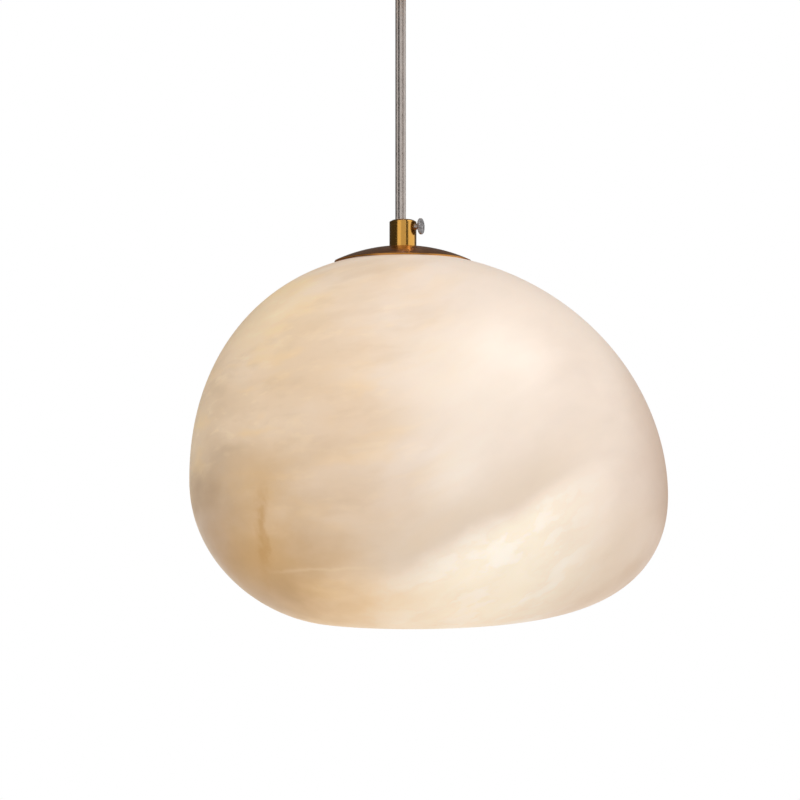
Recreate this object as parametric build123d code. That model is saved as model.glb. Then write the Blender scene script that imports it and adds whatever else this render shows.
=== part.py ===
from build123d import *
import os
from math import cos, pi, sqrt

# Pendant light: a ceiling fitting, a hanging cord, and a hollow alabaster shade under a brass cap.
# Millimetres. The origin is the middle of the ceiling face, +Z is up, and -Y is the front.

os.makedirs("parts", exist_ok=True)

# Cord and the two cord grips
cord_radius = 2.65
cord_drop = 114.9
cord_aside = 1.15
core_radius = 0.8
grip_radius = 6.75
grip_length = 13.4
grip_bore = 4.1
grip_round = 1.3
mouth_flare = 1.2
socket_depth = 6.0
nipple_radius = 5.0
thread_gap = 0.05

# Thumbscrews
screw_radius = 1.5
screw_drop = 3.5
screw_turn = 22.0
screw_tip_gap = 0.1
head_radius = 4.0
head_start = 9.0
head_length = 1.2
head_edge = 0.2
centre_radius = 1.0
centre_depth = 0.6
knurls = 24
knurl_radius = 0.4

# Canopy and bracket
canopy_radius = 50.0
canopy_height = 25.0
canopy_round = 5.0
canopy_sheet = 1.0
bracket_length = 90.0
bracket_width = 20.0
bracket_sheet = 1.5
tab_width = 14.0
tab_reach = 30.0
slot_spacing = 40.0
slot_length = 16.0
slot_width = 4.5
stud_spacing = 76.0
stud_radius = 2.0
stud_end = 4.5
stud_inset = 0.2
stud_nut_flats = 7.0
stud_nut_height = 3.2
stud_hole_gap = 0.25
cap_nut_radius = 4.2
cap_nut_spare = 1.0
corner_round = 3.0
washer_height = 1.0
washer_radius = 9.0
washer_teeth = 16
notch_radius = 0.7
lock_nut_flats = 14.0
lock_nut_height = 5.0
nipple_stub = 1.5

# Wiring in the canopy
block_width = 20.0
block_depth = 16.0
block_height = 12.0
block_y = 21.0
pole_x = 5.5
pole_drop = 7.0
barrel_radius = 2.6
barrel_bore = 1.6
barrel_length = 15.0
pole_well = 2.0
block_round = 1.5
clamp_screw_radius = 1.3
clamp_screw_head = 1.8
clamp_screw_y = 4.0
block_screw_radius = 1.5
block_screw_head = 2.8
block_screw_well = 3.1
screw_head_height = 1.5
screw_recess = 0.3
driver_slot = 0.6
core_gap = 0.1
core_run = 6.0
tail_rise = 3.5
tail_gap = 0.4
core_x = 1.05
core_y = 0.7
earth_core_y = 1.1
earth_x = 8.0
earth_y = -5.0
earth_screw_radius = 2.0
earth_head_radius = 3.3
earth_head_height = 2.2
tag_radius = 3.6
tag_sheet = 0.8

# Stone: reach from the hanging axis to each side, and heights measured down from its crest
stone_left = 105.8
stone_right = 130.9
stone_depth = 104.0
stone_height = 183.6
stone_wall = 9.0
crest_x = 1.8
base_x = -35.0
left_belt = 112.1
right_belt = 119.4
depth_belt = 113.3
upper_left = (2.14, 2.23)
upper_right = (1.93, 1.99)
lower_left = (2.05, 1.77)
lower_right = (2.17, 4.52)
upper_depth = (1.95, 2.37)
lower_depth = (2.1, 3.0)
crest_flat = 1.2
seat_depth = 9.5
base_flat = 2.2
floor_flat = 3.0
opening_radius = 35.0
opening_x = 4.0
opening_round = 2.0
stone_sections = 27
crown_share = 0.39
belt_share = 0.173
heel_share = 0.63

# Cap, clamp and gaskets
cap_radius = 34.2
cap_height = 7.7
cap_lip = 0.4
cap_flat = 7.2
cap_sheet = 0.8
cap_seat_gap = 0.3
gasket_radius = 14.0
gasket_gap = 0.05
gasket_hole_gap = 0.3
clamp_gasket_radius = 20.0
clamp_gasket_height = 1.5
plate_radius = 22.0
plate_height = 2.0
turn_gap = 0.3

# Lampholder and bulb
cup_gap = 4.0
cup_radius = 13.0
cup_inside = 11.8
cup_roof = 8.0
cup_wiring = 7.0
insert_radius = 11.5
insert_height = 18.0
cup_skirt = 3.0
cup_round = 3.0
snap_groove = 0.65
snap_gap = 0.05
snap_width = 2.2
snap_sheet = 1.0
snap_mouth = 6.0
pin_spacing = 9.0
pin_radius = 0.45
pin_loop = 1.1
pin_length = 12.3
well_depth = 15.0
well_width = 2.6
well_length = 4.2
clip_width = 1.9
clip_length = 3.2
clip_height = 11.0
clip_sheet = 0.4
stem_radius = 0.7
cup_screw_radius = 1.5
cup_screw_head = 2.6
cup_screw_head_height = 1.6
cup_screw_reach = 3.5
bulb_seat = 0.4
bulb_base_radius = 8.0
bulb_base_height = 12.0
bulb_base_round = 1.0
capsule_radius = 9.0
capsule_wall = 1.0
capsule_height = 33.0
board_width = 8.0
board_sheet = 1.2

HANG = (Align.CENTER, Align.CENTER, Align.MAX)
STAND = (Align.CENTER, Align.CENTER, Align.MIN)


def disc(radius, top, height):
    return Pos(0, 0, top) * Cylinder(radius, height, align=HANG)


def ring(outer, inner, top, height):
    return disc(outer, top, height) - disc(inner, top, height)


def hex_nut(flats, hole, top, height):
    blank = extrude(RegularPolygon(flats / 2, 6, major_radius=False), height)
    return Pos(0, 0, top - height) * blank - disc(hole, top, height)


def toothed_washer(top):
    notches = PolarLocations(washer_radius, washer_teeth) * Cylinder(notch_radius, 4 * washer_height)
    return Pos(0, 0, top) * (ring(washer_radius, nipple_radius + thread_gap, 0, washer_height) - notches)


def lead(start, start_way, end, end_way, run=0.0):
    """One insulated core: a curve from start to end, then a straight run."""
    path = Spline(start, end, tangents=[start_way, end_way])
    if run:
        path = path + Line(end, Vector(end) + Vector(end_way) * run)
    return sweep(Plane(start, z_dir=start_way) * Circle(core_radius), path)


def cord_grip():
    """Brass sleeve with its mouth at the origin facing up, and the tapped hole for its thumbscrew."""
    sleeve = Cylinder(grip_radius, grip_length, align=HANG)
    sleeve = fillet(sleeve.edges().group_by(Axis.Z)[-1], grip_round)
    sleeve -= Cylinder(grip_bore, grip_length, align=HANG)
    sleeve -= Cone(grip_bore, grip_bore + mouth_flare, mouth_flare, align=HANG)
    sleeve -= disc(nipple_radius + thread_gap, socket_depth - grip_length, socket_depth)
    return sleeve - screw_place * Cylinder(screw_radius + thread_gap, 2 * grip_radius, align=STAND)


def thumbscrew():
    """Knurled screw along its own Z, from the tip that presses on the cord to the head."""
    tip = cord_radius - cord_aside * cos(screw_turn * pi / 180) + screw_tip_gap
    shank = Pos(0, 0, tip) * Cylinder(screw_radius, head_start - tip, align=STAND)
    head = Cylinder(head_radius, head_length, align=STAND)
    head = chamfer(head.edges().filter_by(GeomType.CIRCLE), head_edge)
    head -= PolarLocations(head_radius + knurl_radius / 2, knurls) * Cylinder(knurl_radius, 3 * head_length)
    head -= Pos(0, 0, head_length) * Cone(0, centre_radius, centre_depth, align=HANG)
    return shank + Pos(0, 0, head_start) * head


def quarter(reach, rise, climb, bend):
    """How far out a side stands at a height of climb from its belt, out of rise in all."""
    return reach * (1 - (climb / rise) ** bend[0]) ** (1 / bend[1])


def stone_sag(reach, belt, bend, offset):
    """How far below the crest one side of the stone has spread as wide as the cap."""
    return belt - belt * (1 - ((cap_radius + offset) / (reach + offset)) ** bend[1]) ** (1 / bend[0])


def stone_section(z, inset):
    """One level slice of the stone, or of its hollow where inset is the wall."""
    crest, base = crest_z - inset, base_z + inset

    def side(reach, belt, upper, lower, upper_reach, lower_reach):
        belt_z = crest_z - belt
        if z >= belt_z:
            return quarter(reach + upper_reach, crest - belt_z, z - belt_z, upper) - upper_reach
        return quarter(reach + lower_reach, belt_z - base, belt_z - z, lower) - lower_reach

    left = side(stone_left - inset, left_belt, upper_left, lower_left, crest_x, base_x)
    right = side(stone_right - inset, right_belt, upper_right, lower_right, -crest_x, -base_x)
    depth = side(stone_depth - inset, depth_belt, upper_depth, lower_depth, 0, 0)
    return Pos((right - left) / 2, 0, z) * Ellipse((right + left) / 2, depth)


def stone_form(low, high, inset):
    """Smooth solid through level slices, closer together near its two flat ends."""
    steps = [(1 - cos(pi * i / (stone_sections - 1))) / 2 for i in range(stone_sections)]
    return loft([stone_section(low + (high - low) * step, inset) for step in steps])


# Heights down the hanging axis
upper_mouth_z = -canopy_height - grip_length
lower_mouth_z = upper_mouth_z - cord_drop
foot_z = lower_mouth_z - grip_length
sag_left = stone_sag(stone_left, left_belt, upper_left, crest_x)
sag_right = stone_sag(stone_right, right_belt, upper_right, -crest_x)
sag_depth = stone_sag(stone_depth, depth_belt, upper_depth, 0)
crest_z = foot_z - cap_height - cap_seat_gap + min(sag_left, sag_right, sag_depth)
base_z = crest_z - stone_height
crest_flat_z = crest_z - crest_flat
base_flat_z = base_z + base_flat
seat_z = crest_flat_z - seat_depth
floor_z = base_z + stone_wall + floor_flat
plate_z = seat_z - clamp_gasket_height
washer_z = plate_z - plate_height
nut_z = washer_z - washer_height
cup_z = nut_z - lock_nut_height - cup_gap
roof_z = cup_z - cup_roof
insert_z = roof_z - cup_wiring
face_z = insert_z - insert_height
bulb_z = face_z - bulb_seat
capsule_z = bulb_z - bulb_base_height
well_z = face_z + well_depth
screw_place = Pos(0, 0, -screw_drop) * Rot(0, 0, -screw_turn) * Rot(0, 90, 0)
nipple_hole = nipple_radius + turn_gap

# Bracket: crossbar against the ceiling, with a side tab that carries the connector
bracket = Box(bracket_length, bracket_width, bracket_sheet, align=HANG)
bracket += Pos(0, tab_reach / 2, 0) * Box(tab_width, tab_reach, bracket_sheet, align=HANG)
corners = bracket.edges().filter_by(Axis.Z).sort_by(Axis.X)
bracket = fillet(corners[:2] + corners[-2:], corner_round)
through = 4 * bracket_sheet
for side in (-1, 1):
    slot = extrude(SlotOverall(slot_length, slot_width), through, both=True)
    bracket -= Pos(side * slot_spacing / 2, 0, 0) * slot
    bracket -= Pos(side * stud_spacing / 2, 0, 0) * Cylinder(stud_radius + thread_gap, through)
bracket -= Pos(earth_x, earth_y, 0) * Cylinder(earth_screw_radius + thread_gap, through)
bracket -= Pos(0, block_y, 0) * Cylinder(block_screw_radius + thread_gap, through)

# Studs, their lock nuts, and the dome nuts that hold the canopy up
stud_places = [Pos(-stud_spacing / 2, 0, 0), Pos(stud_spacing / 2, 0, 0)]
stud = disc(stud_radius, -stud_inset, canopy_height + stud_end - stud_inset)
stud_nut = hex_nut(stud_nut_flats, stud_radius + thread_gap, -bracket_sheet, stud_nut_height)
cap_nut = disc(cap_nut_radius, -canopy_height, stud_end)
cap_nut += Pos(0, 0, -canopy_height - stud_end) * Sphere(cap_nut_radius)
cap_nut -= disc(stud_radius + thread_gap, -canopy_height, stud_end + cap_nut_spare)
studs = [place * stud for place in stud_places]
stud_nuts = [place * stud_nut for place in stud_places]
cap_nuts = [place * cap_nut for place in stud_places]

# Canopy: spun cup, open to the ceiling
canopy = disc(canopy_radius, 0, canopy_height)
canopy = fillet(canopy.edges().group_by(Axis.Z)[0], canopy_round)
inside = disc(canopy_radius - canopy_sheet, 0, canopy_height - canopy_sheet)
canopy -= fillet(inside.edges().group_by(Axis.Z)[0], canopy_round - canopy_sheet)
canopy -= disc(nipple_radius + thread_gap, 0, canopy_height)
for place in stud_places:
    canopy -= place * disc(stud_radius + stud_hole_gap, 0, canopy_height)

# Upper grip, hung from the canopy by a short threaded tube
canopy_floor_z = canopy_sheet - canopy_height
upper_nut_z = canopy_floor_z + washer_height + lock_nut_height
upper_nipple_z = upper_nut_z + nipple_stub
upper_nipple_length = upper_nipple_z + canopy_height + socket_depth
upper_nipple = ring(nipple_radius, grip_bore, upper_nipple_z, upper_nipple_length)
upper_lock_washer = toothed_washer(canopy_floor_z + washer_height)
upper_lock_nut = hex_nut(lock_nut_flats, nipple_radius + thread_gap, upper_nut_z, lock_nut_height)
upper_place = Pos(0, 0, upper_mouth_z) * Rot(180, 0, 0)
upper_cord_grip = upper_place * cord_grip()
upper_thumbscrew = upper_place * screw_place * thumbscrew()

# Two-way connector under the tab, with its brass barrels and screws
pole_z = -bracket_sheet - pole_drop
block_base_z = -bracket_sheet - block_height
screw_face_z = block_base_z + screw_recess
screw_neck_z = screw_face_z + screw_head_height
block = Pos(0, block_y, -bracket_sheet) * Box(block_width, block_depth, block_height, align=HANG)
block = fillet(block.edges().filter_by(Axis.Z), block_round)
block -= Pos(0, block_y, -bracket_sheet) * Cylinder(block_screw_radius + core_gap, block_height, align=HANG)
block -= Pos(0, block_y, screw_neck_z) * Cylinder(block_screw_well, block_height, align=HANG)
barrels, clamp_screws = [], []
for side in (-1, 1):
    pole = Pos(side * pole_x, block_y, pole_z) * Rot(90, 0, 0)
    block -= pole * Cylinder(barrel_radius + thread_gap, 2 * block_depth)
    barrel = pole * (Cylinder(barrel_radius, barrel_length) - Cylinder(barrel_bore, barrel_length))
    for end, reach in ((-1, core_radius + core_gap), (1, barrel_bore)):
        place = Pos(side * pole_x, block_y + end * clamp_screw_y, 0)
        block -= place * disc(pole_well, pole_z, block_height)
        barrel -= place * disc(clamp_screw_radius + thread_gap, pole_z, block_height)
        screw = disc(clamp_screw_radius, pole_z - reach, pole_z - reach - screw_neck_z)
        screw += disc(clamp_screw_head, screw_neck_z, screw_head_height)
        screw -= Pos(0, 0, screw_face_z) * Box(block_width, driver_slot, screw_head_height)
        clamp_screws.append(place * screw)
    barrels.append(barrel)
block_screw = disc(block_screw_radius, -stud_inset, -stud_inset - screw_neck_z)
block_screw += disc(block_screw_head, screw_neck_z, screw_head_height)
block_screw -= Pos(0, 0, screw_face_z) * Box(block_width, driver_slot, screw_head_height)
block_screw = Pos(0, block_y, 0) * block_screw

# Cord's upper end: the sheath in the grip, and its three cores
up, back = (0, 0, 1), (0, 1, 0)
tail_base = upper_mouth_z + cord_radius + tail_gap
tail_top = upper_nipple_z + tail_rise
cord_top_tail = Pos(-cord_aside, 0, tail_base) * Cylinder(cord_radius, tail_top - tail_base, align=STAND)
pole_face_y = block_y - block_depth / 2
live_start, neutral_start = (-cord_aside - core_x, core_y, tail_top), (-cord_aside + core_x, core_y, tail_top)
live_lead = lead(live_start, up, (-pole_x, pole_face_y, pole_z), back, core_run)
neutral_lead = lead(neutral_start, up, (pole_x, pole_face_y, pole_z), back, core_run)
earth_place = Pos(earth_x, earth_y, 0)
tag_z = -bracket_sheet - tag_sheet
core_end = (earth_x - earth_screw_radius - core_radius, earth_y, -bracket_sheet - core_radius - core_gap)
earth_lead = lead((-cord_aside, -earth_core_y, tail_top), up, core_end, (1, 0, 0))
earth_lead += earth_place * disc(tag_radius, -bracket_sheet, tag_sheet)
earth_lead -= earth_place * disc(earth_screw_radius + core_gap, 0, canopy_height)
earth_lead -= earth_place * disc(earth_head_radius + core_gap, tag_z, canopy_height)
earth_screw = disc(earth_screw_radius, -stud_inset, -tag_z)
earth_screw += disc(earth_head_radius, tag_z, earth_head_height)
earth_slot = Box(4 * earth_head_radius, driver_slot, earth_head_height)
earth_screw -= Pos(0, 0, tag_z - earth_head_height) * earth_slot
earth_screw = earth_place * earth_screw

# Hanging cord: its round top end sits in the mouth of the upper grip, its foot in the lower grip
nipple_top = foot_z + socket_depth
cord_end_z = nipple_top + tail_gap
supply_cord = Pos(-cord_aside, 0, cord_end_z) * Cylinder(cord_radius, upper_mouth_z - cord_end_z, align=STAND)
supply_cord += Pos(-cord_aside, 0, upper_mouth_z) * Sphere(cord_radius)

# Lower grip and the threaded tube that carries the shade
lower_place = Pos(0, 0, lower_mouth_z)
lower_cord_grip = lower_place * cord_grip()
lower_thumbscrew = lower_place * screw_place * thumbscrew()
hanger_nipple = ring(nipple_radius, grip_bore, nipple_top, nipple_top - roof_z)

# Cap: part of a sphere with a flat for the grip's foot and a short lip
dome_rise = cap_height - cap_lip
dome_arm = (cap_radius**2 - cap_flat**2 + dome_rise**2) / (2 * dome_rise)
dome_radius = sqrt(cap_flat**2 + dome_arm**2)
dome_z = foot_z - dome_arm
shade_cap = disc(cap_radius, foot_z, cap_height) & Pos(0, 0, dome_z) * Sphere(dome_radius)
shade_cap -= Pos(0, 0, dome_z) * Sphere(dome_radius - cap_sheet)
shade_cap -= disc(nipple_hole, foot_z, cap_height)
gasket_z = dome_z + sqrt((dome_radius - cap_sheet) ** 2 - gasket_radius**2) - gasket_gap
cap_gasket = ring(gasket_radius, nipple_hole + gasket_hole_gap, gasket_z, gasket_z - crest_flat_z)

# Stone: lopsided pebble with a hollow, a flat inside seat, a hole for the tube and an opening below.
# Three level cuts part it into rings of plain shape, which are bonded flush: one part of the way down to the
# belt, and two part of the way from there to the base.
stone = stone_form(base_flat_z, crest_flat_z, 0) - stone_form(floor_z, seat_z, stone_wall)
stone -= disc(nipple_hole, crest_z, 2 * seat_depth)
stone -= Pos(opening_x, 0, base_z) * Cylinder(opening_radius, 2 * stone_wall, align=STAND)
stone = fillet(stone.edges().filter_by(GeomType.CIRCLE).group_by(Axis.Z)[0], opening_round)
stone_rings = []
lower_part = stone_height - right_belt
crown_drop, belt_drop, heel_drop = (
    crown_share * depth_belt, right_belt + belt_share * lower_part, right_belt + heel_share * lower_part)
for drop in (crown_drop, belt_drop, heel_drop):
    level = Plane.XY.offset(crest_z - drop)
    stone_rings.append(split(stone, level, keep=Keep.TOP))
    stone = split(stone, level, keep=Keep.BOTTOM)
shade_crown, shade_belt, shade_heel = stone_rings
shade_floor = stone

# Clamp that carries the stone from inside
clamp_gasket = ring(clamp_gasket_radius, nipple_hole + gasket_hole_gap, seat_z, clamp_gasket_height)
clamp_plate = ring(plate_radius, nipple_hole, plate_z, plate_height)
clamp_washer = toothed_washer(washer_z)
clamp_nut = hex_nut(lock_nut_flats, nipple_radius + thread_gap, nut_z, lock_nut_height)

# Lampholder: metal cup on the tube, with a ceramic insert held by a snap ring
cup_base_z = face_z - cup_skirt
lampholder_cup = disc(cup_radius, cup_z, cup_z - cup_base_z)
lampholder_cup = fillet(lampholder_cup.edges().group_by(Axis.Z)[-1], cup_round)
lampholder_cup -= disc(cup_inside, roof_z, roof_z - cup_base_z)
lampholder_cup -= disc(nipple_radius + thread_gap, cup_z, cup_roof)
lampholder_cup -= disc(cup_inside + snap_groove, face_z + snap_gap, snap_sheet + 2 * snap_gap)
earth_z = (roof_z + insert_z) / 2
earth_hole = Pos(0, 0, earth_z) * Rot(-90, 0, 0)
lampholder_cup -= earth_hole * Cylinder(cup_screw_radius + thread_gap, 2 * cup_radius, align=STAND)
snap_outer = cup_inside + snap_groove - snap_gap
retaining_ring = ring(snap_outer, snap_outer - snap_width, face_z, snap_sheet)
retaining_ring -= Pos(0, cup_radius, face_z) * Box(snap_mouth, cup_radius, 4 * snap_sheet)
lampholder_insert = disc(insert_radius, insert_z, insert_height)
contacts, pins = [], []
loop_z = bulb_z + pin_length - pin_loop
for side in (-1, 1):
    x = side * pin_spacing / 2
    lampholder_insert -= Pos(x, 0, face_z) * Box(well_width, well_length, well_depth, align=STAND)
    lampholder_insert -= Pos(x, 0, face_z) * Cylinder(stem_radius + thread_gap, insert_height, align=STAND)
    clip = Box(clip_width, clip_length, clip_height, align=HANG)
    clip_inside = Box(clip_width - 2 * clip_sheet, 2 * clip_length, clip_height, align=HANG)
    clip -= Pos(0, 0, -clip_sheet) * clip_inside
    clip += Cylinder(stem_radius, insert_z - well_z, align=STAND)
    contacts.append(Pos(x, 0, well_z) * clip)
    rise = Line((x, -pin_loop, bulb_z), (x, -pin_loop, loop_z))
    over = ThreePointArc((x, -pin_loop, loop_z), (x, 0, loop_z + pin_loop), (x, pin_loop, loop_z))
    fall = Line((x, pin_loop, loop_z), (x, pin_loop, bulb_z))
    pins.append(sweep(Pos(x, -pin_loop, bulb_z) * Circle(pin_radius), rise + over + fall))

# Cord's lower end and its cores
down = (0, 0, -1)
tail_length = nipple_top - roof_z
cord_lower_tail = Pos(-cord_aside, 0, roof_z) * Cylinder(cord_radius, tail_length, align=STAND)
live_start, neutral_start = (-cord_aside - core_x, -core_y, roof_z), (-cord_aside + core_x, -core_y, roof_z)
lamp_live_lead = lead(live_start, down, (-pin_spacing / 2, 0, insert_z), down)
lamp_neutral_lead = lead(neutral_start, down, (pin_spacing / 2, 0, insert_z), down)
screw_end = cup_radius - cup_screw_reach
lamp_earth_lead = lead((-cord_aside, earth_core_y, roof_z), down, (0, screw_end, earth_z), back)
cup_earth_screw = Pos(0, 0, screw_end) * Cylinder(cup_screw_radius, cup_screw_reach, align=STAND)
cup_earth_screw += Pos(0, 0, cup_radius) * Cylinder(cup_screw_head, cup_screw_head_height, align=STAND)
cup_earth_screw = earth_hole * cup_earth_screw

# Bulb: base with two wire loops, frosted cover, and the board that carries its light sources
bulb_base = disc(bulb_base_radius, bulb_z, bulb_base_height)
bulb_base = fillet(bulb_base.edges().group_by(Axis.Z)[-1], bulb_base_round)
straight = capsule_height - capsule_radius
capsule_end = Pos(0, 0, capsule_z - straight)
hollow = capsule_radius - capsule_wall
bulb_capsule = disc(capsule_radius, capsule_z, straight) + capsule_end * Sphere(capsule_radius)
bulb_capsule -= disc(hollow, capsule_z, straight) + capsule_end * Sphere(hollow)
led_board = Pos(0, 0, capsule_z) * Box(board_width, board_sheet, straight, align=HANG)

nodes = {
    "mounting_bracket": bracket, "bracket_studs": studs, "stud_nuts": stud_nuts, "canopy": canopy,
    "canopy_cap_nuts": cap_nuts, "upper_nipple": upper_nipple, "upper_lock_washer": upper_lock_washer,
    "upper_lock_nut": upper_lock_nut, "upper_cord_grip": upper_cord_grip,
    "upper_thumbscrew": upper_thumbscrew,
    "terminal_block": block, "terminal_barrels": barrels, "terminal_screws": clamp_screws,
    "block_screw": block_screw, "cord_top_tail": cord_top_tail, "live_lead": live_lead,
    "neutral_lead": neutral_lead, "earth_lead": earth_lead, "earth_screw": earth_screw,
    "supply_cord": supply_cord, "lower_cord_grip": lower_cord_grip, "lower_thumbscrew": lower_thumbscrew,
    "hanger_nipple": hanger_nipple, "shade_cap": shade_cap, "cap_gasket": cap_gasket,
    "shade_crown": shade_crown, "shade_belt": shade_belt, "shade_heel": shade_heel,
    "shade_floor": shade_floor, "clamp_gasket": clamp_gasket, "clamp_plate": clamp_plate,
    "clamp_washer": clamp_washer, "clamp_nut": clamp_nut,
    "lampholder_cup": lampholder_cup, "lampholder_insert": lampholder_insert,
    "retaining_ring": retaining_ring, "lamp_contacts": contacts, "cord_lower_tail": cord_lower_tail,
    "lamp_live_lead": lamp_live_lead, "lamp_neutral_lead": lamp_neutral_lead,
    "lamp_earth_lead": lamp_earth_lead, "cup_earth_screw": cup_earth_screw, "bulb_base": bulb_base,
    "bulb_pins": pins, "bulb_capsule": bulb_capsule, "led_board": led_board,
}
for name, solid in nodes.items():
    export_step(Compound(solid) if isinstance(solid, list) else solid, f"parts/{name}.step")
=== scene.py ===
import bmesh
import bpy
import numpy as np
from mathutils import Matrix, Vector


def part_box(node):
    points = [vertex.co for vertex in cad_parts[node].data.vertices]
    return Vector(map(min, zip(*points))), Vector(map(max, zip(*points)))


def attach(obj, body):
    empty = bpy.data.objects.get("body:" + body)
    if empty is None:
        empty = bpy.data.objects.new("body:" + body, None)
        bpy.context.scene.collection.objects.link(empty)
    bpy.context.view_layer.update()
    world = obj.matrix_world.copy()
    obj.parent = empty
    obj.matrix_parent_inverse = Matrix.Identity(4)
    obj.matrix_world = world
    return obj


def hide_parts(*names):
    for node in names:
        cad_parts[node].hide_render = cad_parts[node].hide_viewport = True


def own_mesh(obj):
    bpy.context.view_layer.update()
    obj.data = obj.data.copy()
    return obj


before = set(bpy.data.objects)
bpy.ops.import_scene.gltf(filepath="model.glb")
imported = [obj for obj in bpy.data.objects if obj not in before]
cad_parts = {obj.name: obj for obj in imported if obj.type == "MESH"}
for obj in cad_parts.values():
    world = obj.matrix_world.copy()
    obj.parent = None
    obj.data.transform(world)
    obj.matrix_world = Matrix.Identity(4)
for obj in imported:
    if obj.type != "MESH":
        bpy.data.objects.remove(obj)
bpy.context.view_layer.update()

# Studio. A level camera stands 0.7 m in front of the hanging axis, its lens shifted up to take in the cord.
# The background is white to the eye and in reflections. A soft key comes from the upper right, with a weak
# fill, and dark flags that the camera doesn't see give polished metal its dark edges.
MM = 0.001
EYE, AIM = (-1.475, -700.0, -263.1), (10.0, 0.0, -270.0)
SENSOR, FIELD, LIFT = 36.0, 400.0, 20.0
AMBIENT, FLOOR_GLOW = 0.62, 0.4
FLOOR_Z, FLOOR_REACH = -1200.0, 2400.0
FLAG_AWAY, FLAG_LOW, FLAG_HIGH = 1000.0, -400.0, 1300.0
scene = bpy.context.scene
scene.view_settings.view_transform = "Standard"


def linear(code):
    """Linear red, green, blue and alpha of an sRGB hex colour."""
    s = np.array([int(code[i:i + 2], 16) for i in (1, 3, 5)]) / 255
    return (*np.where(s <= 0.04045, s / 12.92, ((s + 0.055) / 1.055) ** 2.4), 1.0)


def feed(tree, node, inputs):
    """Fills a node's inputs, by socket name or number: with a value, an output or a node's first output."""
    for key, value in inputs.items():
        if isinstance(value, bpy.types.Node):
            value = next(output for output in value.outputs if output.enabled)
        if isinstance(value, bpy.types.NodeSocket):
            tree.links.new(value, node.inputs[key])
        else:
            node.inputs[key].default_value = value


def add(tree, kind, inputs=None, **settings):
    """Adds one node with its settings and inputs. A colour Mix has its share at 0 and colours at 6 and 7."""
    node = tree.nodes.new("ShaderNode" + kind)
    for name, value in settings.items():
        setattr(node, name, value)
    feed(tree, node, inputs or {})
    return node


def seen_directly(tree):
    """1 for a ray from the camera, off a gloss or through glass, and 0 for one that only brings light."""
    ray = add(tree, "LightPath").outputs
    seen = add(tree, "Math", {0: ray["Is Camera Ray"], 1: ray["Is Glossy Ray"]}, operation="MAXIMUM")
    return add(tree, "Math", {0: seen, 1: ray["Is Transmission Ray"]}, operation="MAXIMUM")


camera = bpy.data.cameras.new("camera")
camera.sensor_width = SENSOR
camera.lens = SENSOR * -EYE[1] / FIELD
camera.shift_y = LIFT / FIELD
eye = bpy.data.objects.new("camera", camera)
eye.location = Vector(EYE) * MM
eye.rotation_euler = (np.pi / 2, 0, 0)
scene.collection.objects.link(eye)
scene.camera = eye

world = bpy.data.worlds.new("studio")
world.use_nodes = True
scene.world = world
tree = world.node_tree
level = add(tree, "MapRange", {"Value": seen_directly(tree), "To Min": AMBIENT, "To Max": 1.0})
feed(tree, tree.nodes["Background"], {"Color": linear("#ffffff"), "Strength": level})

# Of the two lamps, metal mirrors only the key. The clear sheath shows neither, which would leave grain in it.
for name, place, watts, size in (("key", (720, -380, 660), 4.2, 600),
                                 ("fill", (-500, -1300, -100), 3.5, 900)):
    lamp = bpy.data.lights.new(name, "AREA")
    lamp.shape, lamp.size, lamp.energy = "DISK", size * MM, watts
    light = bpy.data.objects.new(name, lamp)
    light.location = Vector(place) * MM
    light.rotation_euler = (Vector(AIM) - Vector(place)).to_track_quat("-Z", "Y").to_euler()
    light.visible_glossy = name == "key"
    light.visible_transmission = False
    scene.collection.objects.link(light)


def panel(name, corners, colour, glow=0.0):
    """Flat matt studio panel through corners in mm, with a colour under the lamps and a white glow."""
    mesh = bpy.data.meshes.new(name)
    mesh.from_pydata((np.array(corners, float) * MM).tolist(), [], [range(len(corners))])
    sheet = bpy.data.materials.new(name)
    sheet.use_nodes = True
    tree = sheet.node_tree
    feed(tree, tree.nodes["Principled BSDF"], {
        "Base Color": linear(colour), "Roughness": 1.0, "Specular IOR Level": 0.0,
        "Emission Color": linear("#ffffff"), "Emission Strength": glow})
    mesh.materials.append(sheet)
    board = bpy.data.objects.new(name, mesh)
    scene.collection.objects.link(board)
    return board


# The floor is a pale round sheet, which keeps the object's shadow. It lies too low for the camera to see.
around = np.linspace(0, 2 * np.pi, 128, endpoint=False)
rim = np.stack([FLOOR_REACH * np.cos(around), FLOOR_REACH * np.sin(around), 0 * around + FLOOR_Z], -1)
tree = panel("floor", rim, "#ecebe8").data.materials[0].node_tree
glow = add(tree, "Math", {0: seen_directly(tree), 1: FLOOR_GLOW}, operation="MULTIPLY")
feed(tree, tree.nodes["Principled BSDF"], {"Emission Strength": glow})

# One flag lies overhead, and four stand round the object, each between two angles from the front. The left
# one is also seen through the clear sheath, as the dark side of the cord.
square = FLAG_AWAY * np.array([(-1, -1), (1, -1), (1, 1), (-1, 1)])
flags = [("flag_above", [(x, y, FLAG_HIGH) for x, y in square], 0.1)]
for name, start, end, grey in (("flag_left", -160, -48, 0.06), ("flag_front", -17, 21, 0.66),
                               ("flag_strip", 25, 45, 0.1), ("flag_back", 116, 200, 0.13)):
    turn = np.radians([start, end, end, start])
    upright = [FLAG_LOW, FLAG_LOW, FLAG_HIGH, FLAG_HIGH]
    flags.append((name, np.stack([FLAG_AWAY * np.sin(turn), -FLAG_AWAY * np.cos(turn), upright], -1), grey))
for name, corners, grey in flags:
    flag = panel(name, corners, "#000000", grey)
    flag.visible_camera = flag.visible_diffuse = flag.visible_shadow = False
    flag.visible_transmission = name == "flag_left"

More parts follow.
